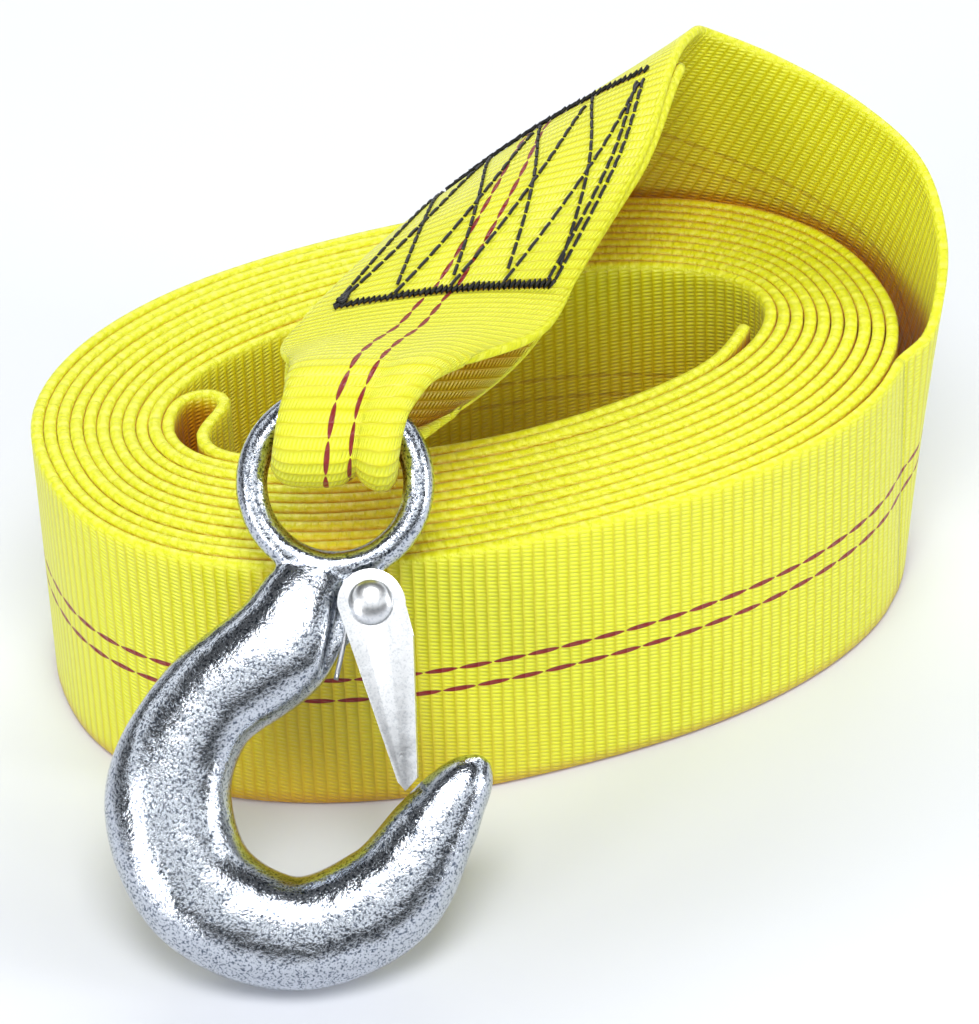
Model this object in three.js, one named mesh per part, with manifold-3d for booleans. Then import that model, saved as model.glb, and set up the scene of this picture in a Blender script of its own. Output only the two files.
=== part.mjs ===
// Winch strap: a 2 inch webbing strap wound into an oval coil, with a forged eye hook on its sewn end.
// Millimetres, +Z up. The coil stands on its edge on the floor and the hook leans in front of it.
// The drawing is made about the middle of the coil, and moved at the end so that the origin lies
// on the floor, under the middle of the whole part's box.

import * as THREE from 'three';
import { mergeVertices } from 'three/addons/utils/BufferGeometryUtils.js';
import Module from 'manifold-3d';

const wasm = await Module();
wasm.setup();

// Webbing
const WEB_WIDTH = 50;
const WEB_THICKNESS = 1.8;
const LAYER_GAP = 0.38;
const LAYER_PITCH = WEB_THICKNESS + LAYER_GAP;

// Coil, seen from above, at the middle of the innermost and outermost turns
const TURNS = 10.48;
const STEPS_PER_TURN = 40;
const BORE_HALF_LENGTH = 53.8;
const BORE_HALF_WIDTH = 24.3;
const BORE_POWER = 2.0;
const SIDE_SLACK = 2.6;
const OUTLINE_FULLNESS = 0.28;
const BORE_SHIFT_BACK = 1.3;
const COIL_HALF_LENGTH = BORE_HALF_LENGTH + TURNS * LAYER_PITCH;
const COIL_HALF_WIDTH = BORE_HALF_WIDTH + TURNS * LAYER_PITCH + SIDE_SLACK;
const COIL_POWER = BORE_POWER + OUTLINE_FULLNESS;

// Winch end: the strap's inner end folds back on itself in a small loop
const FOLD_ANGLE = 159;
const FOLD_OPENING = 5.6;
const FOLD_LENGTH_ANGLE = 46;
const CUT_ANGLE = 340;
const CUT_CURL = 1.4;

// Hook: eye ring, and how it leans
const RING_MID_RADIUS = 13.4;
const RING_BAR_WIDTH = 5.2;
const RING_BAR_THICKNESS = 5.6;
const HOOK_LEAN = 51.1;
const HOOK_YAW = -19;
const HOOK_ROLL = -2.2;
const EYE_CENTRE = [-38.4, -42.3, 64.27];

// Eye loop of the webbing, about the ring's top bar. It is gathered to fill the ring's hole from
// side to side, where it hangs through it, the given distance below the hole's top.
const LOOP_SIDE_CLEARANCE = 0.4;
const LOOP_THICKNESS = 2.6;
const LOOP_HANG = 8.73;
const RING_HOLE_RADIUS = RING_MID_RADIUS - RING_BAR_WIDTH / 2;
const LOOP_HEIGHT = RING_HOLE_RADIUS - LOOP_HANG;
const LOOP_WIDTH = 2 * (Math.sqrt(RING_HOLE_RADIUS ** 2 - LOOP_HEIGHT ** 2) - LOOP_SIDE_CLEARANCE);
const LOOP_RADIUS = RING_MID_RADIUS - LOOP_HEIGHT + LOOP_THICKNESS / 2;
const LOOP_BACK_ANGLE = 46;

// Turned about the top bar, from over the bar to the ring's hole: angle, radius as a share of the
// loop's, how far across, and how much of the webbing's full width is left
const LOOP_FRONT = [
  [-126, 0.53, 4.6, 0.26],
  [-82, 0.65, 2.2, 0.15],
  [-60, 0.79, 1, 0.04],
  [-38, 0.94, 0.3, 0],
  [-18, 1, 0, 0],
];

// Between the eye and the bottom bar tack, upper and lower layer: place in the hook's plane and width
const LOOP_OVER = [[[12, 24.9, -12.6], 0.83], [[7.4, 21.2, -2.6], 0.46]];
const LOOP_UNDER = [[[5, 11.4, -16], 0.26], [[10, 19.4, -19.5], 0.66]];

// Hook body, in the hook's own plane: x across, y up the shank, from the eye's centre.
// Each row is a point of its middle line with the bar's width and thickness there.
const BOWL_THICKNESS = 15;
const HOOK_SPINE = [
  [-1.5, -14.2, 11, 6],
  [-4.4, -18.6, 15, 9.5],
  [-8.6, -26, 18, 13],
  [-20.9, -36.2, 17.5, 14],
  [-26.5, -50.1, 20.3, BOWL_THICKNESS],
  [-21.1, -65.1, 19.9, BOWL_THICKNESS],
  [-6.2, -71.8, 18.2, BOWL_THICKNESS],
  [8.3, -66, 17.9, 14],
  [15.8, -55.3, 14, 12],
  [19.2, -50, 11, 10],
  [22.6, -45.8, 7, 7.5],
  [24.2, -44, 2.4, 3],
];
const HOOK_STEPS = 44;
const SECTION_SIDES = 16;
const SECTION_FULLNESS = 0.88;
const RING_STEPS = 40;
const RING_SECTION_SIDES = 12;

// Latch and its rivet
const RIVET = [5.9, -19.2];
const LUG_RADIUS = 5;
const LUG_THICKNESS = 4.8;
const LUG_BRIDGE = [[8, -16], [2, -12.5], [-6, -18], [-5, -28], [2, -26]];
const LATCH_GAP = 0.35;
const LATCH_SHEET = 1.2;
const LATCH_INNER_WIDTH = 9.6;
const LATCH_HALF_WIDTH = LATCH_INNER_WIDTH / 2 + LATCH_SHEET;
const LATCH_HEAD_RADIUS = 5.3;
const LATCH_SHOULDER = [12.6, -24.4];
const LATCH_END = [[10.2, -47.6], [11.4, -49], [13.3, -46.9]];
const LATCH_OPENING = 30;
const POCKET_CLEARANCE = 0.6;
const POCKET_END = [[7.6, -40], [8.5, -41], [12.6, -40]];
const POCKET_STEPS = 3;
const RIVET_SHANK_RADIUS = 2;
const RIVET_HEAD_RADIUS = 3.6;
const RIVET_HEAD_HEIGHT = 1.7;

// Latch spring
const SPRING_WIRE = 0.8;
const SPRING_COIL_RADIUS = 3.1;
const SPRING_COIL_STEPS = 12;
const SPRING_PITCH = 0.95;
const SPRING_SIDE_GAP = 0.32;
const SPRING_SHANK_END = [0.3, -31.5];
const SPRING_WEB_END = [10.6, -37];
const SPRING_SHANK_LEG = [1.3, 6];
const SPRING_WEB_LEG = [-2.5, 8];

const radians = THREE.MathUtils.degToRad;
const lerp = THREE.MathUtils.lerp;
const vec = (x, y, z) => new THREE.Vector3(x, y, z);

const paint = {
  webbing: new THREE.MeshStandardMaterial({ color: 0xe6e600, roughness: 0.75, metalness: 0 }),
  zinc: new THREE.MeshStandardMaterial({ color: 0xc8ccd0, roughness: 0.28, metalness: 1 }),
  sheet: new THREE.MeshStandardMaterial({ color: 0xd6d8da, roughness: 0.35, metalness: 1 }),
};

// Closed mesh through rings of points, capped at both ends
function loft(rings) {
  const sides = rings[0].length;
  const positions = rings.flat().flatMap((p) => [p.x, p.y, p.z]);
  const indices = [];
  for (let i = 0; i + 1 < rings.length; i++) {
    for (let j = 0; j < sides; j++) {
      const a = i * sides + j;
      const b = i * sides + ((j + 1) % sides);
      indices.push(a, b, b + sides, a, b + sides, a + sides);
    }
  }
  const last = (rings.length - 1) * sides;
  for (let j = 1; j + 1 < sides; j++) {
    indices.push(0, j + 1, j);
    indices.push(last, last + j, last + j + 1);
  }
  const geometry = new THREE.BufferGeometry();
  geometry.setAttribute('position', new THREE.Float32BufferAttribute(positions, 3));
  geometry.setIndex(indices);
  return geometry;
}

function toSolid(geometry) {
  const bare = geometry.clone();
  bare.deleteAttribute('normal');
  bare.deleteAttribute('uv');
  const merged = mergeVertices(bare, 1e-4);
  return new wasm.Manifold(new wasm.Mesh({
    numProp: 3,
    vertProperties: new Float32Array(merged.attributes.position.array),
    triVerts: new Uint32Array(merged.index.array),
  }));
}

function toGeometry(solid) {
  const mesh = solid.getMesh();
  const geometry = new THREE.BufferGeometry();
  geometry.setAttribute('position', new THREE.BufferAttribute(new Float32Array(mesh.vertProperties), 3));
  geometry.setIndex(new THREE.BufferAttribute(new Uint32Array(mesh.triVerts), 1));
  return geometry;
}

// Point of the turn that lies the given number of turns outside the bore's first turn
function coilPoint(angleDegrees, turnsOut) {
  const angle = radians(angleDegrees);
  const c = Math.cos(angle);
  const s = Math.sin(angle);
  const oval = (halfLength, halfWidth, power) => [
    halfLength * Math.sign(c) * Math.abs(c) ** (2 / power),
    halfWidth * Math.sign(s) * Math.abs(s) ** (2 / power),
  ];
  const inner = oval(BORE_HALF_LENGTH, BORE_HALF_WIDTH, BORE_POWER);
  const outer = oval(COIL_HALF_LENGTH, COIL_HALF_WIDTH, COIL_POWER);
  const share = turnsOut / TURNS;
  return vec(
    lerp(inner[0], outer[0], share),
    lerp(inner[1] + BORE_SHIFT_BACK, outer[1], share),
    WEB_WIDTH / 2,
  );
}

// Centre line of the inner end: from its cut end along the front wall, round the fold
function winchEndPoints() {
  const points = [];
  const step = 360 / STEPS_PER_TURN;
  const openTurns = FOLD_OPENING / LAYER_PITCH;
  const openFrom = FOLD_ANGLE + FOLD_LENGTH_ANGLE;
  const curlTurns = CUT_CURL / LAYER_PITCH;
  for (let angle = CUT_ANGLE; angle > FOLD_ANGLE; angle -= step) {
    const opening = THREE.MathUtils.smoothstep(openFrom - angle, 0, FOLD_LENGTH_ANGLE * 0.8);
    const curl = curlTurns * THREE.MathUtils.smoothstep(angle, CUT_ANGLE - 3 * step, CUT_ANGLE);
    const turnsIn = 1 + openTurns * opening + curl;
    points.push(coilPoint(angle, (angle - FOLD_ANGLE) / 360 - turnsIn));
  }
  const outerLimb = coilPoint(FOLD_ANGLE, 0);
  const innerLimb = points[points.length - 1];
  const middle = outerLimb.clone().add(innerLimb).multiplyScalar(0.5);
  const across = innerLimb.clone().sub(middle);
  const forward = coilPoint(FOLD_ANGLE - 1, 0).sub(outerLimb).normalize().multiplyScalar(across.length());
  for (const turn of [36, 72, 108, 144]) {
    const bend = radians(turn);
    points.push(middle.clone().addScaledVector(across, Math.cos(bend)).addScaledVector(forward, Math.sin(bend)));
  }
  return points;
}

function spiralPoints() {
  const points = [];
  const steps = Math.round(TURNS * STEPS_PER_TURN);
  for (let i = 0; i <= steps; i++) {
    const turnsOut = (TURNS * i) / steps;
    points.push(coilPoint(FOLD_ANGLE + 360 * turnsOut, turnsOut));
  }
  return points;
}

// Upper and lower edge of the strap where it climbs off the coil's right end and turns over
const RISER_EDGES = [
  [[75.5, -22, 51.5], [73, -19.2, 0.9]],
  [[79.8, -17.5, 56], [76, -11.5, 5.5]],
  [[82.8, -12, 63], [78.3, -1.5, 13.5]],
  [[84, 0.9, 71], [76.5, 18, 24.5]],
  [[79.6, 16.7, 75.5], [66, 33.5, 29]],
  [[70.6, 31.3, 78.5], [51, 44.6, 34]],
  [[60, 39, 81.5], [33.5, 49.8, 43]],
  [[55.6, 36.6, 84], [17, 43.5, 55]],
  [[47.8, 27.5, 85], [3, 28.5, 65.5]],
  [[35, 9.5, 79], [-14, 6.5, 75]],
  [[14.5, -9, 68], [-32.5, -14, 78]],
];
const TOP_TACK = 8;

// Group in whose own plane the hook is drawn
function hookPlane(parent) {
  const stand = new THREE.Group();
  const plane = new THREE.Group();
  stand.position.fromArray(EYE_CENTRE);
  stand.rotation.z = radians(HOOK_YAW);
  plane.rotation.set(radians(HOOK_LEAN), 0, radians(HOOK_ROLL));
  stand.add(plane);
  parent.add(stand);
  stand.updateMatrixWorld(true);
  return plane;
}

// Stations of the eye loop in the hook's plane: middle, half width and thickness
function eyeLoopStations() {
  const halfWidth = (share) => lerp(LOOP_WIDTH, WEB_WIDTH, share) / 2;
  const onBar = (angle, radius, x, share) => {
    const turn = radians(angle);
    const at = [x, RING_MID_RADIUS - radius * Math.cos(turn), -radius * Math.sin(turn)];
    return { at, half: halfWidth(share), thick: LOOP_THICKNESS };
  };
  const layer = ([at, share]) => ({ at, half: halfWidth(share), thick: WEB_THICKNESS });
  const arc = [0, LOOP_BACK_ANGLE / 3, (2 * LOOP_BACK_ANGLE) / 3, LOOP_BACK_ANGLE];
  return [
    ...LOOP_OVER.map(layer),
    ...LOOP_FRONT.map(([angle, share, x, width]) => onBar(angle, share * LOOP_RADIUS, x, width)),
    ...arc.map((angle) => onBar(angle, LOOP_RADIUS, 0, 0)),
    ...LOOP_UNDER.map(layer),
  ];
}

// One section of the strap: middle, direction across its width, and size
function station(middle, across, half, thick) {
  return { middle, across: across.clone().normalize(), half, thick };
}

// Evenly spaced stations on a smooth curve through the given ones
function smoothStations(list, spacing) {
  const path = new THREE.CatmullRomCurve3(list.map((s) => s.middle), false, 'centripetal');
  const turns = new THREE.CatmullRomCurve3(list.map((s) => s.across), false, 'catmullrom');
  const steps = Math.max(2, Math.round(path.getLength() / spacing));
  const out = [];
  for (let i = 0; i <= steps; i++) {
    const t = path.getUtoTmapping(i / steps);
    const slot = Math.min(list.length - 2, Math.floor(t * (list.length - 1)));
    const share = t * (list.length - 1) - slot;
    out.push(station(
      path.getPoint(t),
      turns.getPoint(t),
      lerp(list[slot].half, list[slot + 1].half, share),
      lerp(list[slot].thick, list[slot + 1].thick, share),
    ));
  }
  return out;
}

// The lower of the flap's two layers lies under the upper one, from the eye loop to its cut end
function lowerLayer(upper) {
  const lower = [];
  for (let i = upper.length - 1; i >= 0; i--) {
    const before = upper[Math.max(0, i - 1)].middle;
    const after = upper[Math.min(upper.length - 1, i + 1)].middle;
    const outward = after.clone().sub(before).cross(upper[i].across).normalize();
    const middle = upper[i].middle.clone().addScaledVector(outward, -LAYER_PITCH);
    lower.push(station(middle, upper[i].across, upper[i].half, WEB_THICKNESS));
  }
  return lower;
}

function strapStations() {
  const up = vec(0, 0, 1);
  const onCoil = (p) => station(p, up, WEB_WIDTH / 2, WEB_THICKNESS);
  const coil = [...winchEndPoints(), ...spiralPoints()].map(onCoil);

  const riser = RISER_EDGES.map(([upper, lower]) => {
    const a = vec(...upper);
    const b = vec(...lower);
    return station(a.clone().add(b).multiplyScalar(0.5), a.sub(b), WEB_WIDTH / 2, WEB_THICKNESS);
  });
  const flap = smoothStations([...coil.slice(-3), ...riser], 3.2);
  for (const s of flap) s.middle.z = Math.max(s.middle.z, WEB_WIDTH / 2);

  const topTack = riser[TOP_TACK].middle;
  const reach = flap.map((s) => s.middle.distanceTo(topTack));
  const lower = lowerLayer(flap.slice(reach.indexOf(Math.min(...reach)) - 1));

  const toDrawing = hookPlane(new THREE.Group()).matrixWorld;
  const bar = vec(1, 0, 0).transformDirection(toDrawing);
  const placed = (s) => station(vec(...s.at).applyMatrix4(toDrawing), bar, s.half, s.thick);
  const loop = eyeLoopStations().map(placed);
  const tack = riser[riser.length - 1].across;
  loop[0].across.lerp(tack, 0.65).normalize();
  loop[1].across.lerp(tack, 0.3).normalize();
  loop[loop.length - 2].across.lerp(tack, 0.3).normalize();
  loop[loop.length - 1].across.lerp(tack, 0.65).normalize();
  const eye = smoothStations([...flap.slice(-2), ...loop, ...lower.slice(0, 2)], 2.4);

  return [...coil.slice(0, -2), ...flap.slice(1, -1), ...eye.slice(1, -1), ...lower.slice(1)];
}

// Rectangular sections of the strap along its stations
function strapGeometry(stations) {
  const rings = stations.map((s, i) => {
    const before = stations[Math.max(0, i - 1)].middle;
    const after = stations[Math.min(stations.length - 1, i + 1)].middle;
    const face = after.clone().sub(before).cross(s.across).normalize();
    const corner = (w, f) => s.middle.clone()
      .addScaledVector(s.across, w * s.half)
      .addScaledVector(face, (f * s.thick) / 2);
    return [corner(1, 1), corner(-1, 1), corner(-1, -1), corner(1, -1)];
  });
  return loft(rings);
}

// Rounded section across the spine of a forging
function forgedSection(middle, across, width, thickness) {
  const points = [];
  for (let i = 0; i < SECTION_SIDES; i++) {
    const turn = (2 * Math.PI * i) / SECTION_SIDES;
    const c = Math.cos(turn);
    const s = Math.sin(turn);
    const w = (Math.sign(c) * Math.abs(c) ** SECTION_FULLNESS * width) / 2;
    const t = (Math.sign(s) * Math.abs(s) ** SECTION_FULLNESS * thickness) / 2;
    points.push(middle.clone().addScaledVector(across, w).add(vec(0, 0, t)));
  }
  return points;
}

function hookBar() {
  const smooth = (points) => new THREE.CatmullRomCurve3(points, false, 'centripetal');
  const spine = smooth(HOOK_SPINE.map(([x, y]) => vec(x, y, 0)));
  const size = smooth(HOOK_SPINE.map(([, , width, thick]) => vec(width, thick, 0)));
  const rings = [];
  for (let i = 0; i <= HOOK_STEPS; i++) {
    const t = spine.getUtoTmapping(i / HOOK_STEPS);
    const along = spine.getTangent(t);
    const across = vec(-along.y, along.x, 0);
    const section = size.getPoint(t);
    rings.push(forgedSection(spine.getPoint(t), across, section.x, section.y));
  }
  return loft(rings);
}

function eyeRing() {
  const profile = [];
  for (let i = 0; i <= RING_SECTION_SIDES; i++) {
    const turn = (2 * Math.PI * (i % RING_SECTION_SIDES)) / RING_SECTION_SIDES;
    const x = RING_MID_RADIUS + (Math.cos(turn) * RING_BAR_WIDTH) / 2;
    profile.push(new THREE.Vector2(x, (Math.sin(turn) * RING_BAR_THICKNESS) / 2));
  }
  return new THREE.LatheGeometry(profile, RING_STEPS).rotateX(Math.PI / 2);
}

// Cylinder along the rivet's axis, from one height to another
function rivetCylinder(radius, from, to, sides = 32) {
  const geometry = new THREE.CylinderGeometry(radius, radius, to - from, sides).rotateX(Math.PI / 2);
  return geometry.translate(RIVET[0], RIVET[1], (from + to) / 2);
}

// Side plate of the latch: round head about the rivet, narrowing to the end that meets the tip
function latchPlate(grow, end) {
  const shape = new THREE.Shape();
  const radius = LATCH_HEAD_RADIUS + grow;
  const [endLeft, endTip, endRight] = end;
  const left = Math.atan2(endLeft[1] - RIVET[1], endLeft[0] - RIVET[0]) - Math.PI / 2;
  shape.absarc(RIVET[0], RIVET[1], radius, 0, left + 2 * Math.PI, false);
  shape.lineTo(endLeft[0] - grow, endLeft[1]);
  shape.lineTo(...endTip);
  shape.lineTo(endRight[0] + grow, endRight[1]);
  shape.lineTo(LATCH_SHOULDER[0] + grow, LATCH_SHOULDER[1]);
  return shape;
}

function plateAt(shape, from, to) {
  const geometry = new THREE.ExtrudeGeometry(shape, { depth: to - from, bevelEnabled: false, curveSegments: 20 });
  return geometry.translate(0, 0, from);
}

// Web that joins the latch's two side plates along their outer edge
function latchWeb() {
  const shape = new THREE.Shape();
  const [, , endRight] = LATCH_END;
  shape.moveTo(LATCH_SHOULDER[0], LATCH_SHOULDER[1]);
  shape.lineTo(LATCH_SHOULDER[0] - LATCH_SHEET, LATCH_SHOULDER[1]);
  shape.lineTo(endRight[0] - LATCH_SHEET, endRight[1]);
  shape.lineTo(...endRight);
  return plateAt(shape, -LATCH_HALF_WIDTH, LATCH_HALF_WIDTH);
}

function latch() {
  const plate = latchPlate(0, LATCH_END);
  const inner = LATCH_INNER_WIDTH / 2;
  const front = toSolid(plateAt(plate, inner, LATCH_HALF_WIDTH));
  const back = toSolid(plateAt(plate, -LATCH_HALF_WIDTH, -inner));
  const hole = toSolid(rivetCylinder(RIVET_SHANK_RADIUS + LATCH_GAP, -LATCH_HALF_WIDTH - 1, LATCH_HALF_WIDTH + 1));
  return toGeometry(front.add(back).add(toSolid(latchWeb())).subtract(hole));
}

// The shank is thinned beside the rivet, so that the latch's side plates can swing past it
function latchPocket() {
  const reach = BOWL_THICKNESS;
  const face = LUG_THICKNESS / 2;
  const plate = latchPlate(POCKET_CLEARANCE, POCKET_END);
  let pocket = null;
  for (let step = 0; step <= POCKET_STEPS; step++) {
    const turn = -radians((LATCH_OPENING * step) / POCKET_STEPS);
    for (const side of [plateAt(plate, face, reach), plateAt(plate, -reach, -face)]) {
      side.translate(-RIVET[0], -RIVET[1], 0).rotateZ(turn).translate(RIVET[0], RIVET[1], 0);
      pocket = pocket ? pocket.add(toSolid(side)) : toSolid(side);
    }
  }
  return pocket;
}

function hookBody() {
  const lug = toSolid(rivetCylinder(LUG_RADIUS, -LUG_THICKNESS / 2, LUG_THICKNESS / 2));
  const bridge = new THREE.Shape(LUG_BRIDGE.map(([x, y]) => new THREE.Vector2(x, y)));
  const bridgeSolid = toSolid(plateAt(bridge, -LUG_THICKNESS / 2, LUG_THICKNESS / 2));
  const hole = toSolid(rivetCylinder(RIVET_SHANK_RADIUS + LATCH_GAP, -LUG_THICKNESS, LUG_THICKNESS));
  const solid = toSolid(hookBar()).add(toSolid(eyeRing())).subtract(latchPocket());
  return toGeometry(solid.add(lug).add(bridgeSolid).subtract(hole));
}

// Rivet: a shank with a low dome on each end
function latchRivet() {
  const halfLength = LATCH_HALF_WIDTH + LATCH_GAP;
  const dome = [];
  for (let i = 0; i <= 5; i++) {
    const turn = (Math.PI / 2) * (i / 5);
    dome.push([RIVET_HEAD_RADIUS * Math.cos(turn), halfLength + RIVET_HEAD_HEIGHT * Math.sin(turn)]);
  }
  const upper = [[RIVET_SHANK_RADIUS, halfLength], ...dome];
  upper[upper.length - 1][0] = 0;
  const lower = upper.map(([x, y]) => [x, -y]).reverse();
  const profile = [...lower, ...upper].map(([x, y]) => new THREE.Vector2(x, y));
  return new THREE.LatheGeometry(profile, 24).rotateX(Math.PI / 2).translate(RIVET[0], RIVET[1], 0);
}

// Torsion spring: one leg on the shank, a turn round the rivet, one leg along the latch's web
function latchSpring() {
  const start = (LUG_THICKNESS + SPRING_WIRE) / 2 + SPRING_SIDE_GAP;
  const end = start + SPRING_PITCH;
  const shank = vec(...SPRING_SHANK_END, start);
  const web = vec(...SPRING_WEB_END, end);
  const points = [shank, shank.clone().add(vec(...SPRING_SHANK_LEG, 0))];
  for (let i = 0; i <= SPRING_COIL_STEPS; i++) {
    const share = i / SPRING_COIL_STEPS;
    const turn = Math.PI - share * 2 * Math.PI;
    const x = RIVET[0] + SPRING_COIL_RADIUS * Math.cos(turn);
    const y = RIVET[1] + SPRING_COIL_RADIUS * Math.sin(turn);
    points.push(vec(x, y, start + share * SPRING_PITCH));
  }
  points.push(web.clone().add(vec(...SPRING_WEB_LEG, 0)), web);
  const path = new THREE.CatmullRomCurve3(points, false, 'centripetal');
  const section = new THREE.Shape();
  section.absarc(0, 0, SPRING_WIRE / 2, 0, 2 * Math.PI, false);
  return new THREE.ExtrudeGeometry(section, { steps: 44, extrudePath: path, curveSegments: 4 });
}

const drawing = new THREE.Group();
function addPiece(parent, name, geometry, material) {
  const mesh = new THREE.Mesh(geometry, material);
  mesh.name = name;
  parent.add(mesh);
}

addPiece(drawing, 'webbing', strapGeometry(strapStations()), paint.webbing);
const plane = hookPlane(drawing);
addPiece(plane, 'hook_body', hookBody(), paint.zinc);
addPiece(plane, 'latch', latch(), paint.sheet);
addPiece(plane, 'latch_rivet', latchRivet(), paint.zinc);
addPiece(plane, 'latch_spring', latchSpring(), paint.sheet);

const group = new THREE.Group();
group.add(drawing);
const box = new THREE.Box3().setFromObject(group, true);
const middle = box.getCenter(vec(0, 0, 0));
drawing.position.set(-middle.x, -middle.y, -box.min.z);
export default group;
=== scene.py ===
# Winch strap: coiled yellow webbing with a forged snap hook on its sewn end.
# Sizes in millimetres are turned to metres where a mesh is made.
import math
import bpy
import numpy as np
from mathutils import Matrix, Vector


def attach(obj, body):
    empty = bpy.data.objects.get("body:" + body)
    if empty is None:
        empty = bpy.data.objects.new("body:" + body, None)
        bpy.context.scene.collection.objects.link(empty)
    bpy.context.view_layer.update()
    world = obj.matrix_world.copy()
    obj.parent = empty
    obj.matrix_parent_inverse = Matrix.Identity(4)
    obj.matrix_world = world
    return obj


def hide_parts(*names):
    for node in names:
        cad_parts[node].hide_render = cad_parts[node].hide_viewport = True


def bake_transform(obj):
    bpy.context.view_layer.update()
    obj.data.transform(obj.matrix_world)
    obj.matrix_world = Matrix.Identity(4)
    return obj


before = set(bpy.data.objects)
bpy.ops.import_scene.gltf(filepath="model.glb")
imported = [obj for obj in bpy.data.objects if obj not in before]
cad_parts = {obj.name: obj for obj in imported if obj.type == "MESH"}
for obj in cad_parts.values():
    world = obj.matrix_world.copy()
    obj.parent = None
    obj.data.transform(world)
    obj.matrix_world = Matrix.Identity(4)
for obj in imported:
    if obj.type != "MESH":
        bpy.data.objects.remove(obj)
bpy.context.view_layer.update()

MM = 0.001
ORIGIN_SHIFT = np.array([0.4102, 20.6053, 0.004])

# Camera
CAMERA_AT = np.array([-197.9, -580.7, 465.0]) + ORIGIN_SHIFT
CAMERA_TURN = 19.0
CAMERA_PITCH = 36.0
CAMERA_ROLL = 2.16
CAMERA_LENS = 151.6

# Webbing
WEB_WIDTH = 50.0
HALF = WEB_WIDTH / 2
WEB_THICKNESS = 1.8
WOUND_THICKNESS = 2.14
WOUND_TAPER = 60.0
EDGE_ROUND = 0.55
LAYER_GAP = 0.38
LAYER_PITCH = WEB_THICKNESS + LAYER_GAP
TURNS = 10.48
STEPS_PER_TURN = 40
BORE_HALF_LENGTH = 53.8
BORE_HALF_WIDTH = 24.3
BORE_POWER = 2.0
SIDE_SLACK = 2.6
OUTLINE_FULLNESS = 0.28
BORE_SHIFT_BACK = 1.3
COIL_HALF_LENGTH = BORE_HALF_LENGTH + TURNS * LAYER_PITCH
COIL_HALF_WIDTH = BORE_HALF_WIDTH + TURNS * LAYER_PITCH + SIDE_SLACK
COIL_POWER = BORE_POWER + OUTLINE_FULLNESS
FOLD_ANGLE = 159.0
FOLD_OPENING = 5.6
FOLD_LENGTH_ANGLE = 46.0
CUT_ANGLE = 340.0
CUT_CURL = 1.4
TRACER_HEIGHTS = (1.5, -2.75)
TRACER_PITCH = 5.8
TRACER_SHARE = 0.48
TRACER_HALF_WIDTH = 0.54
RIB_PITCH = 2.0
RIB_WOBBLE = 0.16
STRAND_PITCH = 0.78

# The texture's second coordinate is raised by this much on the strap's inner side
INNER_SIDE_LIFT = 2.0

# Hook
RING_MID_RADIUS = 13.4
RING_BAR_WIDTH = 5.2
RING_BAR_THICKNESS = 5.6
HOOK_LEAN = 51.1
HOOK_YAW = -19.0
HOOK_ROLL = -2.2
EYE_CENTRE = np.array([-38.4, -42.3, 64.27])
HOOK_SPINE = [
    (-1.5, -14.2, 11, 6),
    (-4.4, -18.6, 15, 9.5),
    (-8.6, -26, 18, 13),
    (-20.9, -36.2, 17.5, 14),
    (-26.5, -50.1, 20.3, 15),
    (-21.1, -65.1, 19.9, 15),
    (-6.2, -71.8, 18.2, 15),
    (8.3, -66, 17.9, 14),
    (15.8, -55.3, 14, 12),
    (19.2, -50, 11, 10),
    (22.6, -45.8, 7, 7.5),
    (24.2, -44, 2.4, 3),
]
RIVET = (5.9, -19.2)
LUG_RADIUS = 5.0
LUG_THICKNESS = 4.8
LUG_BRIDGE = [(8, -16), (2, -12.5), (-6, -18), (-5, -28), (2, -26)]
LATCH_GAP = 0.35
LATCH_SHEET = 1.2
LATCH_INNER_WIDTH = 9.6
LATCH_HALF_WIDTH = LATCH_INNER_WIDTH / 2 + LATCH_SHEET
LATCH_HEAD_RADIUS = 5.3
LATCH_SHOULDER = (12.6, -24.4)
LATCH_OPENING = 30.0
POCKET_CLEARANCE = 0.6
POCKET_END = [(7.6, -40), (8.5, -41), (12.6, -40)]
RIVET_SHANK_RADIUS = 2.0
RIVET_HEAD_RADIUS = 3.6
RIVET_HEAD_HEIGHT = 1.7
SPRING_WIRE = 0.8
SPRING_COIL_RADIUS = 3.1
SPRING_PITCH = 0.95
SPRING_SIDE_GAP = 0.32

# Upper and lower edge of the strap where it climbs off the coil and turns over
RISER_EDGES = [
    ((75.5, -22, 51.5), (73, -19.2, 0.9)),
    ((79.8, -17.5, 56), (76, -11.5, 5.5)),
    ((82.8, -12, 63), (78.3, -1.5, 13.5)),
    ((84, 0.9, 71), (76.5, 18, 24.5)),
    ((79.6, 16.7, 75.5), (66, 33.5, 29)),
    ((70.6, 31.3, 78.5), (51, 44.6, 34)),
    ((60, 39, 81.5), (33.5, 49.8, 43)),
    ((55.6, 36.6, 84), (17, 43.5, 55)),
    ((47.8, 27.5, 85), (3, 28.5, 65.5)),
    ((35, 9.5, 79), (-14, 6.5, 75)),
    ((14.5, -9, 68), (-32.5, -14, 78)),
]
TOP_TACK = 8

# Eye loop in the hook's plane: middle, how far it is gathered, and the depth of its folds
EYE_LOOP = [
    ((12, 24.9, -12.6), 0.12, 0.5),
    ((7.6, 21.2, -2.2), 0.42, 0.45),
]
LOOP_RADIUS = 12.64

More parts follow.
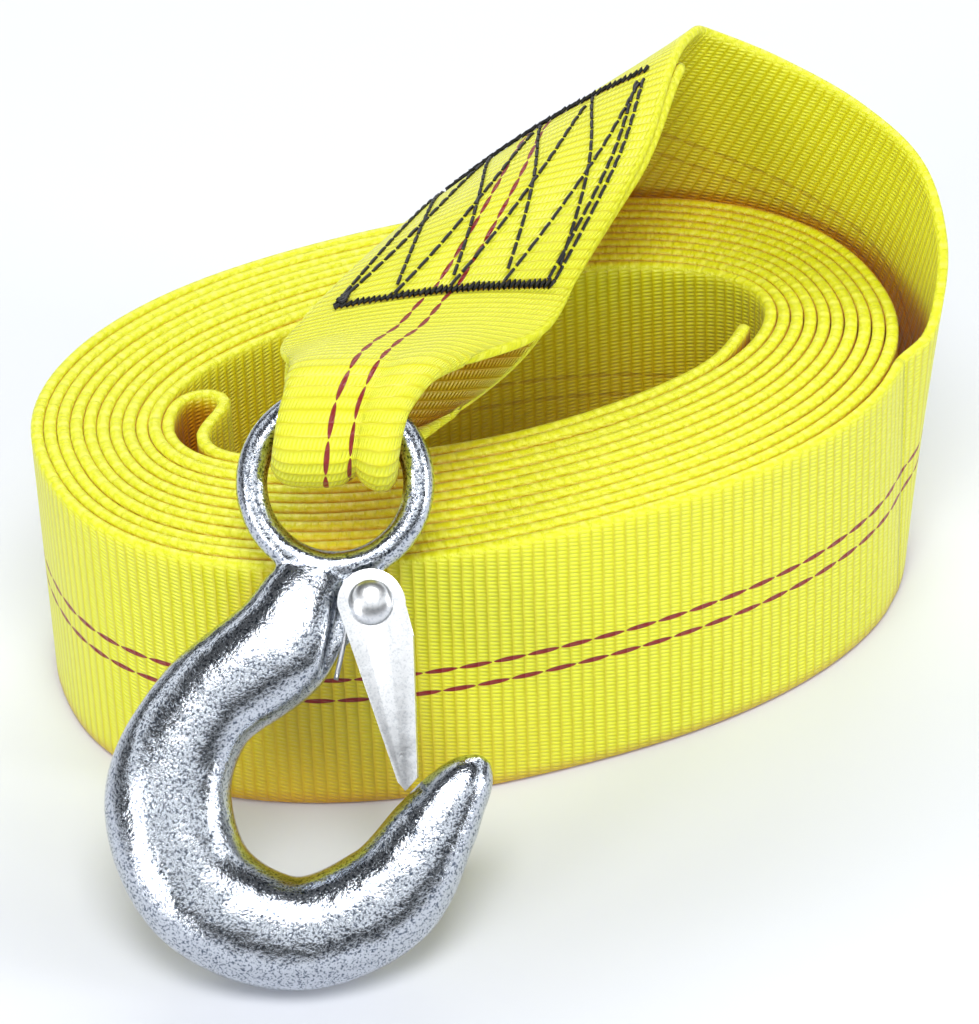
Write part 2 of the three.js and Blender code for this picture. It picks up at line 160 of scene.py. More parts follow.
# Turned about the ring's top bar: angle, radius, how far across, gather and fold depth
LOOP_ARC = [
    (-126, 7.2, 4.6, 0.7, 0.4),
    (-82, 8.6, 2.0, 0.9, 0.42),
    (-60, 10.1, 1.0, 0.97, 0.5),
    (-38, 11.9, 0.3, 1.0, 0.7),
    (-18, LOOP_RADIUS, 0, 1.0, 0.9),
    (0, LOOP_RADIUS, 0, 1.0, 1.0),
    (15, LOOP_RADIUS, 0, 1.0, 1.0),
    (31, LOOP_RADIUS, 0, 1.0, 0.8),
    (46, LOOP_RADIUS, 0, 0.9, 0.6),
]
LOOP_RETURN = [((5, 11.4, -16), 0.55, 0.3), ((10, 19.4, -19.5), 0.22, 0.2)]

# How the gathered webbing folds: place in the width, then its offset across and outwards
GATHER = [
    (-25, -1.5, -4.4),
    (-19.5, -6.8, -4.0),
    (-15, -9.3, -1.9),
    (-11, -8.0, 0.1),
    (-5, -3.4, 0.6),
    (0, 0.9, 0.3),
    (4, 3.4, -1.4),
    (8, 5.3, 0.5),
    (12, 7.9, 1.4),
    (16.5, 9.3, -1.2),
    (21, 7.6, -3.9),
    (25, 4.2, -4.6),
]

rng = np.random.default_rng(7)


# Smooth curves through points

def spline(points, per_span, centripetal=True):
    """Catmull-Rom curve through rows of points, with the given number of steps in each span."""
    p = np.asarray(points, float)
    p = np.vstack([2 * p[0] - p[1], p, 2 * p[-1] - p[-2]])
    out = []
    for i in range(1, len(p) - 2):
        p0, p1, p2, p3 = p[i - 1:i + 3]
        if centripetal:
            spans = ((p0, p1), (p1, p2), (p2, p3))
            d0, d1, d2 = (max(np.linalg.norm(b[:3] - a[:3]), 1e-9) ** 0.5 for a, b in spans)
            d1 = d1 if d1 > 1e-3 else 1.0
            d0 = d0 if d0 > 1e-3 else d1
            d2 = d2 if d2 > 1e-3 else d1
            t1 = d1 * ((p1 - p0) / d0 - (p2 - p0) / (d0 + d1) + (p2 - p1) / d1)
            t2 = d1 * ((p2 - p1) / d1 - (p3 - p1) / (d1 + d2) + (p3 - p2) / d2)
        else:
            t1, t2 = (p2 - p0) / 2, (p3 - p1) / 2
        t = np.linspace(0, 1, per_span, endpoint=False)[:, None]
        square = 3 * (p2 - p1) - 2 * t1 - t2
        cube = 2 * (p1 - p2) + t1 + t2
        out.append(p1 + t1 * t + square * t**2 + cube * t**3)
    out.append(p[-2][None])
    return np.vstack(out)


def even(rows, spacing):
    """Rows resampled evenly along the curve of their first three columns."""
    length = np.r_[0, np.cumsum(np.linalg.norm(np.diff(rows[:, :3], axis=0), axis=1))]
    count = max(3, int(round(length[-1] / spacing)) + 1)
    at = np.linspace(0, length[-1], count)
    return np.column_stack([np.interp(at, length, rows[:, k]) for k in range(rows.shape[1])])


def unit(v):
    return v / np.linalg.norm(v, axis=-1, keepdims=True)


def smoothstep(x, low, high):
    t = np.clip((x - low) / (high - low), 0, 1)
    return t * t * (3 - 2 * t)


# Frame of the hook's plane

def turn_x(degrees):
    c, s = math.cos(math.radians(degrees)), math.sin(math.radians(degrees))
    return np.array([[1, 0, 0], [0, c, -s], [0, s, c]])


def turn_z(degrees):
    c, s = math.cos(math.radians(degrees)), math.sin(math.radians(degrees))
    return np.array([[c, -s, 0], [s, c, 0], [0, 0, 1]])


PLANE_TURN = turn_z(HOOK_YAW) @ turn_x(HOOK_LEAN) @ turn_z(HOOK_ROLL)


def on_plane(point):
    return EYE_CENTRE + PLANE_TURN @ np.asarray(point, float)


# Stations of the strap. Columns: middle 0-2, across 3-5, gather 6, fold depth 7, arch 8, turn 9

def coil_point(degrees, turns_out):
    angle = math.radians(degrees)
    c, s = math.cos(angle), math.sin(angle)

    def oval(length, width, power):
        x = length * math.copysign(abs(c) ** (2 / power), c)
        y = width * math.copysign(abs(s) ** (2 / power), s)
        return x, y

    inner = oval(BORE_HALF_LENGTH, BORE_HALF_WIDTH, BORE_POWER)
    outer = oval(COIL_HALF_LENGTH, COIL_HALF_WIDTH, COIL_POWER)
    share = turns_out / TURNS
    x = inner[0] + (outer[0] - inner[0]) * share
    y = inner[1] + BORE_SHIFT_BACK + (outer[1] - inner[1] - BORE_SHIFT_BACK) * share
    return np.array([x, y, HALF])


def winch_end_points():
    step = 360 / STEPS_PER_TURN
    open_from = FOLD_ANGLE + FOLD_LENGTH_ANGLE
    points = []
    angle = CUT_ANGLE
    while angle > FOLD_ANGLE:
        opening = smoothstep(open_from - angle, 0, FOLD_LENGTH_ANGLE * 0.8) * FOLD_OPENING / LAYER_PITCH
        curl = smoothstep(angle, CUT_ANGLE - 3 * step, CUT_ANGLE) * CUT_CURL / LAYER_PITCH
        points.append(coil_point(angle, (angle - FOLD_ANGLE) / 360 - 1 - opening - curl))
        angle -= step
    outer_limb = coil_point(FOLD_ANGLE, 0)
    middle = (outer_limb + points[-1]) / 2
    across = points[-1] - middle
    forward = unit(coil_point(FOLD_ANGLE - 1, 0) - outer_limb) * np.linalg.norm(across)
    for turn in (36, 72, 108, 144):
        bend = math.radians(turn)
        points.append(middle + across * math.cos(bend) + forward * math.sin(bend))
    return points


def row(middle, across, gather=0.0, depth=0.0, arch=0.0, turn=0.0):
    return np.r_[middle, unit(np.asarray(across, float)), gather, depth, arch, turn]


def coil_rows():
    up = (0, 0, 1)
    rows = [row(p, up) for p in winch_end_points()]
    steps = round(TURNS * STEPS_PER_TURN)
    for i in range(steps + 1):
        turns_out = TURNS * i / steps
        rows.append(row(coil_point(FOLD_ANGLE + 360 * turns_out, turns_out), up, turn=turns_out))
    return rows


def riser_rows():
    arches = [0, 0, 0, 0, 0, 0, 0, 0.6, 2.0, 3.0, 2.6]
    rows = []
    for (upper, lower), arch in zip(RISER_EDGES, arches):
        a, b = np.array(upper, float), np.array(lower, float)
        rows.append(row((a + b) / 2, a - b, arch=arch))
    return rows


def eye_rows(tack_across):
    bar = PLANE_TURN[:, 0]

    def lean(share):
        return unit(bar * (1 - share) + tack_across * share)

    leans = [0.65, 0.35]
    rows = [row(on_plane(at), lean(k), g, d, 2.2 * (1 - g)) for (at, g, d), k in zip(EYE_LOOP, leans)]
    for degrees, radius, x, gather, depth in LOOP_ARC:
        turn = math.radians(degrees)
        at = (x, RING_MID_RADIUS - radius * math.cos(turn), -radius * math.sin(turn))
        rows.append(row(on_plane(at), lean(0.12 if degrees < -100 else 0), gather, depth))
    for (at, gather, depth), share in zip(LOOP_RETURN, (0.3, 0.65)):
        rows.append(row(on_plane(at), lean(share), gather, depth, -0.5))
    return rows


def lower_rows(upper):
    """The flap's second layer, under the first, from the eye loop to its cut end."""
    along = np.gradient(upper[:, :3], axis=0)
    outward = unit(np.cross(along, upper[:, 3:6]))
    lower = upper.copy()
    lower[:, :3] -= outward * LAYER_PITCH
    lower[:, 8] *= -1
    return lower[::-1]


coil = coil_rows()
riser = riser_rows()
flap = spline(np.array(coil[-3:] + riser), 12)
flap = flap[24:]
flap[:, 3:6] = unit(flap[:, 3:6])
flap = even(flap, 1.2)
flap[:, 2] = np.maximum(flap[:, 2], HALF)
top_index = int(np.argmin(np.linalg.norm(flap[:, :3] - riser[TOP_TACK][:3], axis=1)))
lower = lower_rows(flap[top_index - 3:])
eye = spline(np.vstack([flap[-6], flap[-1], eye_rows(flap[-1, 3:6]), lower[0], lower[5]]), 14)
eye = even(eye[14:-14], 1.0)
sewn = np.vstack([flap[:-1], eye[:-1], lower])
wound = even(spline(np.array(coil), 5), 1.75)


def station_frames(rows):
    across = unit(rows[:, 3:6])
    face = unit(np.cross(np.gradient(rows[:, :3], axis=0), across))
    return rows[:, :3], across, face


fold_curve = spline(np.array([(x, n, 0) for _, x, n in GATHER]), 8)
fold_steps = np.linspace(0, len(GATHER) - 1, len(fold_curve))
fold_places = np.interp(fold_steps, range(len(GATHER)), [place for place, _, _ in GATHER])


def section(place, rows):
    """Offsets across and outwards of one line of the strap, along its whole length."""
    gather, depth, arch = rows[:, 6], rows[:, 7], rows[:, 8]
    fold_x = np.interp(place, fold_places, fold_curve[:, 0])
    fold_n = np.interp(place, fold_places, fold_curve[:, 1])
    x = place * (1 - gather) + fold_x * gather
    crown = np.abs(arch) * (0.5 - (place / HALF) ** 2) * np.sign(arch)
    n = fold_n * gather * depth + crown * (1 - gather)
    return x, n


# Slow unevenness of the coil's upper edge, as wound by hand
wave = [(rng.uniform(60, 260), rng.uniform(0, 2 * math.pi), rng.uniform(0.4, 1.0)) for _ in range(7)]


def unevenness(length):
    total = sum(a * np.sin(2 * math.pi * length / w + p) for w, p, a in wave)
    return total / sum(a for _, _, a in wave)


def strap_mesh_data(rows, columns, start_length, uneven):
    middle, across, face = station_frames(rows)
    length = start_length + np.r_[0, np.cumsum(np.linalg.norm(np.diff(middle, axis=0), axis=1))]
    wound_share = np.clip((length[-1] - length) / WOUND_TAPER, 0, 1) if uneven else 0 * length
    thickness = WEB_THICKNESS + (WOUND_THICKNESS - WEB_THICKNESS) * wound_share
    ring, coords, normal_side = [], [], []
    for side in (1, -1):
        order = columns if side > 0 else columns[::-1]
        for place in order:
            edge = max(0.0, 1 - (HALF - abs(place)) / EDGE_ROUND)
            half_thick = thickness / 2 * math.sqrt(max(0.03, 1 - edge**2))
            x, n = section(place, rows)
            point = middle + across * x[:, None]
            if uneven:
                point[:, 2] += uneven * wound_share * unevenness(length) * max(0.0, place / HALF)
            # outward direction of the folded section
            ahead = section(min(place + 0.4, HALF), rows)
            behind = section(max(place - 0.4, -HALF), rows)
            dx, dn = ahead[0] - behind[0], ahead[1] - behind[1]
            size = np.hypot(dx, dn) + 1e-9
            out = face * (dx / size)[:, None] - across * (dn / size)[:, None]
            point = point + face * n[:, None] + out * (side * half_thick)[:, None]
            ring.append(point)
            across_share = np.full(len(length), place / WEB_WIDTH + 0.5)
            coords.append(np.column_stack([length / WEB_WIDTH, across_share]))
            normal_side.append(side)
    return np.array(ring), np.array(coords), normal_side, length[-1]


def grid_faces(count_around, count_along, first):
    faces = []
    for j in range(count_around):
        k = (j + 1) % count_around
        for i in range(count_along - 1):
            faces.append((first + j * count_along + i, first + k * count_along + i,
                          first + k * count_along + i + 1, first + j * count_along + i + 1))
    return faces


def make_mesh(name, points, faces, material):
    mesh = bpy.data.meshes.new(name)
    mesh.from_pydata([tuple(p) for p in points], [], faces)
    mesh.validate()
    mesh.update()
    mesh.polygons.foreach_set("use_smooth", [True] * len(mesh.polygons))
    obj = bpy.data.objects.new(name, mesh)
    bpy.context.scene.collection.objects.link(obj)
    obj.data.materials.append(material)
    return obj


# Node material helpers

class Nodes:
    def __init__(self, name):
        self.material = bpy.data.materials.new(name)
        self.material.use_nodes = True
        self.tree = self.material.node_tree
        self.shader = self.tree.nodes["Principled BSDF"]

    def new(self, kind, **values):
        node = self.tree.nodes.new(kind)
        for key, value in values.items():
            setattr(node, key, value)
        return node

    def link(self, a, b):
        self.tree.links.new(a, b)

    def feed(self, socket, value):
        if isinstance(value, (int, float)):
            socket.default_value = value
        else:
            self.link(value, socket)

    def math(self, operation, a, b=0.0):
        node = self.new("ShaderNodeMath", operation=operation)
        self.feed(node.inputs[0], a)
        self.feed(node.inputs[1], b)
        return node.outputs[0]

    def add(self, *terms):
        total = terms[0]
        for term in terms[1:]:
            total = self.math("ADD", total, term)
        return total

    def times(self, *terms):
        total = terms[0]
        for term in terms[1:]:
            total = self.math("MULTIPLY", total, term)
        return total

    def less(self, a, b):
        return self.math("SUBTRACT", a, b)

    def mix(self, factor, a, b):
        node = self.new("ShaderNodeMix", data_type="RGBA")
        self.feed(node.inputs[0], factor)
        for socket, value in ((node.inputs[6], a), (node.inputs[7], b)):
            if isinstance(value, tuple):
                socket.default_value = (*value, 1)
            else:
                self.link(value, socket)
        return node.outputs[2]

    def ramp(self, value, stops):
        node = self.new("ShaderNodeValToRGB")
        self.link(value, node.inputs[0])
        elements = node.color_ramp.elements
        while len(elements) < len(stops):
            elements.new(0.5)
        for element, (at, level) in zip(elements, stops):
            element.position = at
            element.color = (level, level, level, 1)
        return node.outputs[0]

    def noise(self, vector, scale, detail=4.0, rough=0.55):
        node = self.new("ShaderNodeTexNoise")
        self.link(vector, node.inputs["Vector"])
        node.inputs["Scale"].default_value = scale
        node.inputs["Detail"].default_value = detail
        node.inputs["Roughness"].default_value = rough
        return node.outputs[0]

    def bump(self, height, strength, distance, normal=None):
        node = self.new("ShaderNodeBump")
        self.link(height, node.inputs["Height"])
        node.inputs["Strength"].default_value = strength
        node.inputs["Distance"].default_value = distance
        if normal is not None:
            self.link(normal, node.inputs["Normal"])
        return node.outputs[0]


def webbing_material():
    n = Nodes("webbing")
    uv = n.new("ShaderNodeUVMap", uv_map="web")
    split = n.new("ShaderNodeSeparateXYZ")
    n.link(uv.outputs[0], split.inputs[0])
    along = n.times(split.outputs[0], WEB_WIDTH)
    inner_side = n.math("GREATER_THAN", split.outputs[1], 1.5)
    share = n.less(split.outputs[1], n.times(inner_side, INNER_SIDE_LIFT))
    place = n.less(n.times(share, WEB_WIDTH), HALF)
    coords = n.new("ShaderNodeCombineXYZ")
    n.link(along, coords.inputs[0])
    n.link(place, coords.inputs[1])

    wobble = n.times(n.less(n.noise(coords.outputs[0], 0.3, 2.0), 0.5), RIB_WOBBLE)
    turns = n.add(n.math("DIVIDE", along, RIB_PITCH), wobble)
    rib = n.math("POWER", n.math("ABSOLUTE", n.math("SINE", n.times(turns, math.pi))), 0.7)
    slant = n.times(n.math("FRACT", turns), 0.5)
    offset = n.times(n.math("FLOOR", turns), 0.5)
    strand = n.add(n.math("DIVIDE", place, STRAND_PITCH), slant, offset)
    hatch = n.add(n.times(n.math("SINE", n.times(strand, 2 * math.pi)), 0.5), 0.5)
    floats_and_painted_highlight = n.times(n.math("POWER", rib, 2.0), hatch)
    selvedge = n.ramp(n.math("DIVIDE", n.math("ABSOLUTE", place), HALF), [(0.955, 0.0), (0.975, 1.0)])
    body = n.less(1.0, n.times(selvedge, 0.55))
    lumps = n.times(n.noise(coords.outputs[0], 1.4, 3.0), selvedge, 1.3)
    woven = n.add(n.times(rib, 0.5), n.times(floats_and_painted_highlight, 0.5))
    height = n.add(n.times(woven, body), lumps)

    def tracer(at, phase):
        turn = n.math("FRACT", n.add(n.math("DIVIDE", along, TRACER_PITCH), phase))
        from_middle = n.math("DIVIDE", n.math("ABSOLUTE", n.less(turn, 0.5)), TRACER_SHARE)
        rest = n.math("MAXIMUM", n.less(1.0, n.times(from_middle, from_middle)), 0.0)
        width = n.times(n.math("SQRT", rest), TRACER_HALF_WIDTH)
        distance = n.math("ABSOLUTE", n.less(place, at))
        inside = n.times(n.less(width, distance), 9.0)
        return n.math("MINIMUM", n.math("MAXIMUM", inside, 0.0), 1.0)

    dashes = n.math("MAXIMUM", tracer(TRACER_HEIGHTS[0], 0.0), tracer(TRACER_HEIGHTS[1], 0.5))
    visible = n.less(1.0, n.times(inner_side, 0.72))
    red = n.times(dashes, visible)

    # Painted shade: where ambient occlusion finds the strap hemmed in, as in the bore and between turns, the
    # colour is mixed towards orange-brown.
    occlusion = n.new("ShaderNodeAmbientOcclusion", samples=8)
    occlusion.inputs["Distance"].default_value = 0.055
    free_of_painted_shade = n.ramp(occlusion.outputs["AO"], [(0.08, 0.0), (0.5, 1.0)])
    patch = n.noise(coords.outputs[0], 0.06, 3.0)
    yellow = n.mix(patch, (0.72, 0.75, 0.0), (0.79, 0.82, 0.003))
    # Painted highlight: the weave's floats are mixed towards a pale yellow; the same float pattern also
    # feeds the bump.
    lit = n.mix(n.times(floats_and_painted_highlight, 0.55), yellow, (0.92, 0.91, 0.12))
    # Painted shade: the weave's low grooves are mixed towards a darker yellow; the selvedge gets less of it.
    painted_groove_shade_mix = n.math("MAXIMUM", n.ramp(woven, [(0.12, 0.0), (0.6, 1.0)]), n.times(selvedge, 0.8))
    with_painted_groove_shade = n.mix(painted_groove_shade_mix, (0.66, 0.62, 0.0), lit)
    shaded = n.mix(free_of_painted_shade, (0.62, 0.22, 0.0), with_painted_groove_shade)
    coloured = n.mix(red, shaded, (0.24, 0.001, 0.0))
    n.link(coloured, n.shader.inputs["Base Color"])
    n.shader.inputs["Roughness"].default_value = 0.4
    n.shader.inputs["Specular IOR Level"].default_value = 0.55
    n.shader.inputs["Sheen Weight"].default_value = 0.08

    full_height = n.add(height, n.times(dashes, 0.25))
    n.link(n.bump(full_height, 0.75, 0.00042), n.shader.inputs["Normal"])
    return n.material


def thread_material():
    n = Nodes("thread")
    n.shader.inputs["Base Color"].default_value = (0.006, 0.006, 0.007, 1)
    n.shader.inputs["Roughness"].default_value = 0.5
    return n.material


def zinc_material(name, bright, dark, rough, grain):
    n = Nodes(name)
    place = n.new("ShaderNodeTexCoord")
    fine = n.noise(place.outputs["Object"], 2400.0, 3.0, 0.6)
    coarse = n.noise(place.outputs["Object"], 160.0, 3.0, 0.5)
    speck = n.ramp(fine, [(0.38, 0.0), (0.5, 1.0)])
    n.link(n.mix(speck, dark, bright), n.shader.inputs["Base Color"])
    n.shader.inputs["Metallic"].default_value = 1.0
    worn = n.add(n.times(coarse, 0.12), rough - 0.06)
    n.link(worn, n.shader.inputs["Roughness"])
    first = n.bump(fine, grain, 0.00006)
    n.link(n.bump(coarse, grain * 0.8, 0.0006, first), n.shader.inputs["Normal"])
    return n.material


WEB = webbing_material()
THREAD = thread_material()
ZINC = zinc_material("zinc", (0.60, 0.635, 0.69), (0.10, 0.125, 0.17), 0.15, 1.0)
SHEET = zinc_material("sheet", (0.74, 0.75, 0.76), (0.6, 0.62, 0.64), 0.3, 0.3)
WIRE = zinc_material("wire", (0.6, 0.61, 0.63), (0.4, 0.41, 0.43), 0.3, 0.2)


# Webbing

def build_webbing():
    plain = [-25, -24.85, -24.5, -22, -13, -4, 4, 13, 22, 24.5, 24.85, 25]
    dense = [-25, -24.85, -24.5, *np.linspace(-23, 23, 27), 24.5, 24.85, 25]
    points, faces, uvs = [], [], []
    start = 0.0
    for rows, columns, uneven in ((wound, plain, 0.5), (sewn, dense, 0.0)):
        ring, coords, sides, start = strap_mesh_data(rows, columns, start, uneven)
        around, along = ring.shape[:2]
        first = len(points)
        points.extend(((ring.reshape(-1, 3) + ORIGIN_SHIFT) * MM).tolist())
        for j in range(around):
            k = (j + 1) % around
            lift = 0 if sides[j] > 0 or sides[k] > 0 else INNER_SIDE_LIFT
            for i in range(along - 1):
                a, b = first + j * along + i, first + k * along + i
                faces.append((a, b, b + 1, a + 1))
                for u, v in (coords[j, i], coords[k, i], coords[k, i + 1], coords[j, i + 1]):
                    uvs.extend([u, v + lift])
        for i in (0, along - 1):
            cap = [first + j * along + i for j in range(around)]
            faces.append(tuple(cap[::-1]) if i == 0 else tuple(cap))
            uvs.extend([0.02 * (j % 3) for j in range(2 * around)])
    mesh = bpy.data.meshes.new("webbing_detail")
    mesh.from_pydata(points, [], faces)
    mesh.polygons.foreach_set("use_smooth", [True] * len(mesh.polygons))
    layer = mesh.uv_layers.new(name="web")
    layer.data.foreach_set("uv", np.array(uvs, np.float32))
    mesh.update()
    mesh.materials.append(WEB)
    obj = bpy.data.objects.new("webbing_detail", mesh)
    bpy.context.scene.collection.objects.link(obj)
    return obj, start


# Tubes

def tube(name, paths, radius, material, sides=8):
    points, faces = [], []
    for path in paths:
        path = np.asarray(path, float)
        along = unit(np.gradient(path, axis=0))
        helper = np.array([0.3, 0.2, 0.93])
        side = unit(np.cross(along, helper))
        other = np.cross(along, side)
        first = len(points)
        count = len(path)
        for j in range(sides):
            turn = 2 * math.pi * j / sides
            ring = path + radius * (side * math.cos(turn) + other * math.sin(turn))
            points.extend(ring * MM)
        faces.extend(grid_faces(sides, count, first))
        faces.append(tuple(first + j * count for j in range(sides)))
        faces.append(tuple(first + j * count + count - 1 for j in range(sides))[::-1])
    return make_mesh(name, points, faces, material)


# Stitching on the sewn panel

panel = flap[max(0, top_index - 8):]
panel_middle, panel_across, panel_face = station_frames(panel)
panel_length = np.r_[0, np.cumsum(np.linalg.norm(np.diff(panel_middle, axis=0), axis=1))]
TACK_INSET = 0.6
top_at = float(np.interp(8 if top_index >= 8 else top_index, range(len(panel_length)), panel_length))
bottom_at = panel_length[-1] - TACK_INSET
STITCH_HALF = 20.5


def on_panel(length, place, lift):
    x, n = section(place, panel)
    line = panel_middle + panel_across * x[:, None] + panel_face * (n + WEB_THICKNESS / 2 + lift)[:, None]
    point = [np.interp(length, panel_length, line[:, k]) for k in range(3)]
    return np.array(point) + ORIGIN_SHIFT


def stitched_line(a, b, stitch=2.7, gap=0.75):
    a, b = np.array(a, float), np.array(b, float)
    total = np.linalg.norm(b - a)
    paths = []
    at = 0.3
    while at + stitch < total:
        steps = np.linspace(at, at + stitch, 6) / total
        sink = np.sin(np.linspace(0, math.pi, 6)) * 0.2 - 0.02
        paths.append([on_panel(*(a + (b - a) * t), 0.12 + s) for t, s in zip(steps, sink)])
        at += stitch + gap
    return paths


def bar_tack(at, left, right, pitch=0.5, reach=0.85):
    count = int((right - left) / pitch)
    path = []
    for i in range(count + 1):
        place = left + (right - left) * i / count
        wander = 0.35 * math.sin(place * 0.9) + rng.normal(0, 0.08)
        side = reach if i % 2 else -reach
        path.append(on_panel(at + wander * 0.4 + side + rng.normal(0, 0.07), place, 0.30 + 0.08 * (i % 3)))
    return [path]


def stitches():
    bars = bar_tack(bottom_at, -STITCH_HALF, STITCH_HALF) + bar_tack(top_at, -STITCH_HALF, STITCH_HALF)
    knot = []
    for turn in np.linspace(0, 5 * math.pi, 40):
        grow = 0.9 - 0.035 * turn
        knot.append(on_panel(bottom_at - 1.4 - 0.18 * turn + grow * math.cos(turn) * 0.8,
                             -STITCH_HALF + 0.6 + grow * math.sin(turn), 0.7))
    lines = []
    nodes = np.linspace(-STITCH_HALF, STITCH_HALF, 5)
    near = bottom_at - 1.0
    far = top_at + 1.0
    lines += stitched_line((near, -STITCH_HALF), (far, -STITCH_HALF))
    lines += stitched_line((near, STITCH_HALF), (far, STITCH_HALF))
    lines += stitched_line((near, STITCH_HALF - 1.5), (far, STITCH_HALF - 1.3))
    for k in range(4):
        first, last = (near, far) if k % 2 == 0 else (far, near)
        lines += stitched_line((first, nodes[k]), (last, nodes[k + 1]))
        lines += stitched_line((last, nodes[k]), (first, nodes[k + 1]))
    thick = tube("stitch_bars", bars + [knot], 0.36, THREAD)
    thin = tube("stitch_lines", lines, 0.3, THREAD, 6)
    return [thick, thin]


# Hook

def plane_matrix():
    turn = Matrix(PLANE_TURN.tolist()).to_4x4()
    place = Matrix.Translation(Vector((EYE_CENTRE + ORIGIN_SHIFT) * MM))
    return place @ turn


def evaluated_copy(obj, name):
    bpy.context.view_layer.update()
    graph = bpy.context.evaluated_depsgraph_get()
    mesh = bpy.data.meshes.new_from_object(obj.evaluated_get(graph))
    mesh.name = name
    out = bpy.data.objects.new(name, mesh)
    bpy.context.scene.collection.objects.link(out)
    bpy.data.objects.remove(obj)
    return out


def hook_bar_parts():
    spine = even(spline(np.array([(x, y, 0, w, t) for x, y, w, t in HOOK_SPINE]), 16), 0.8)
    along = unit(np.gradient(spine[:, :3], axis=0))
    across = np.column_stack([-along[:, 1], along[:, 0], np.zeros(len(along))])
    sides = 40
    points = []
    for j in range(sides):
        turn = 2 * math.pi * j / sides
        c, s = math.cos(turn), math.sin(turn)
        w = math.copysign(abs(c) ** 0.88, c) * spine[:, 3] / 2
        t = math.copysign(abs(s) ** 0.88, s) * spine[:, 4] / 2
        points.extend(spine[:, :3] + across * w[:, None] + np.column_stack([0 * t, 0 * t, t]))
    count = len(spine)
    faces = grid_faces(sides, count, 0)
    faces.append(tuple(j * count for j in range(sides)))
    faces.append(tuple(j * count + count - 1 for j in range(sides))[::-1])
    return points, faces


def ring_parts():
    around, sides = 96, 28
    points = []
    for j in range(sides):
        turn = 2 * math.pi * j / sides
        radius = RING_MID_RADIUS + math.cos(turn) * RING_BAR_WIDTH / 2
        for i in range(around + 1):
            spin = 2 * math.pi * (i % around) / around
            height = math.sin(turn) * RING_BAR_THICKNESS / 2
            points.append((radius * math.cos(spin), radius * math.sin(spin), height))
    return points, grid_faces(sides, around + 1, 0)


def prism_parts(outline, low, high):
    count = len(outline)
    points = [(x, y, low) for x, y in outline] + [(x, y, high) for x, y in outline]
    faces = [tuple(range(count))[::-1], tuple(range(count, 2 * count))]
    faces += [(j, (j + 1) % count, (j + 1) % count + count, j + count) for j in range(count)]
    return points, faces


def around_rivet(radius, turns):
    return [(RIVET[0] + radius * math.cos(t), RIVET[1] + radius * math.sin(t)) for t in turns]


def disc(radius, steps=40):
    return around_rivet(radius, [2 * math.pi * i / steps for i in range(steps)])


def plate_outline(grow, end):
    left, tip, right = end
    stop = math.atan2(left[1] - RIVET[1], left[0] - RIVET[0]) - math.pi / 2 + 2 * math.pi
    arc = around_rivet(LATCH_HEAD_RADIUS + grow, np.linspace(0, stop, 30))
    return arc + [(left[0] - grow, left[1]), tip, (right[0] + grow, right[1]),
                  (LATCH_SHOULDER[0] + grow, LATCH_SHOULDER[1])]


def turned(outline, degrees):
    c, s = math.cos(math.radians(degrees)), math.sin(math.radians(degrees))
    out = []
    for x, y in outline:
        dx, dy = x - RIVET[0], y - RIVET[1]
        out.append((RIVET[0] + c * dx - s * dy, RIVET[1] + s * dx + c * dy))
    return out


def joined(name, parts, material):
    points, faces = [], []
    for p, f in parts:
        first = len(points)
        points.extend(tuple(c * MM for c in q) for q in p)
        faces.extend(tuple(v + first for v in face) for face in f)
    return make_mesh(name, points, faces, material)


def remeshed(obj, name, voxel, smooth_rounds):
    weld = obj.modifiers.new("weld", "WELD")
    weld.merge_threshold = 1e-6
    remesh = obj.modifiers.new("remesh", "REMESH")
    remesh.mode = "VOXEL"
    remesh.voxel_size = voxel * MM
    if smooth_rounds:
        soft = obj.modifiers.new("soft", "SMOOTH")
        soft.factor = 0.5
        soft.iterations = smooth_rounds
    out = evaluated_copy(obj, name)
    out.data.polygons.foreach_set("use_smooth", [True] * len(out.data.polygons))
    return out


def cut(obj, tool, name):
    change = obj.modifiers.new("cut", "BOOLEAN")
    change.operation = "DIFFERENCE"
    change.solver = "EXACT"
    change.object = tool
    out = evaluated_copy(obj, name)
    bpy.data.objects.remove(tool)
    return out


def build_hook_body():
    body = remeshed(joined("hook_rough", [hook_bar_parts(), ring_parts()], ZINC), "hook_united", 0.45, 5)
    face = LUG_THICKNESS / 2
    sweep = []
    for step in range(4):
        outline = turned(plate_outline(POCKET_CLEARANCE, POCKET_END), -LATCH_OPENING * step / 3)
        sweep += [prism_parts(outline, face, 15), prism_parts(outline, -15, -face)]
    tool = remeshed(joined("pocket", sweep, ZINC), "pocket_tool", 0.4, 0)
    body = cut(body, tool, "hook_pocketed")
    lug_parts = [prism_parts(disc(LUG_RADIUS), -face, face), prism_parts(LUG_BRIDGE[::-1], -face, face)]
    lug = joined("lug", lug_parts, ZINC)
    bpy.context.view_layer.update()
    body_mesh, lug_mesh = body.data, lug.data
    both = []
    for mesh in (body_mesh, lug_mesh):
        co = np.zeros(len(mesh.vertices) * 3)
        mesh.vertices.foreach_get("co", co)
        both.append((co.reshape(-1, 3) / MM, [tuple(p.vertices) for p in mesh.polygons]))
    bpy.data.objects.remove(body)
    bpy.data.objects.remove(lug)
    return remeshed(joined("hook_whole", both, ZINC), "hook_detail", 0.42, 4)


def softened(obj, name, width, segments=3):
    bevel = obj.modifiers.new("bevel", "BEVEL")
    bevel.width = width * MM
    bevel.segments = segments
    bevel.limit_method = "ANGLE"
    bevel.angle_limit = math.radians(35)
    return evaluated_copy(obj, name)


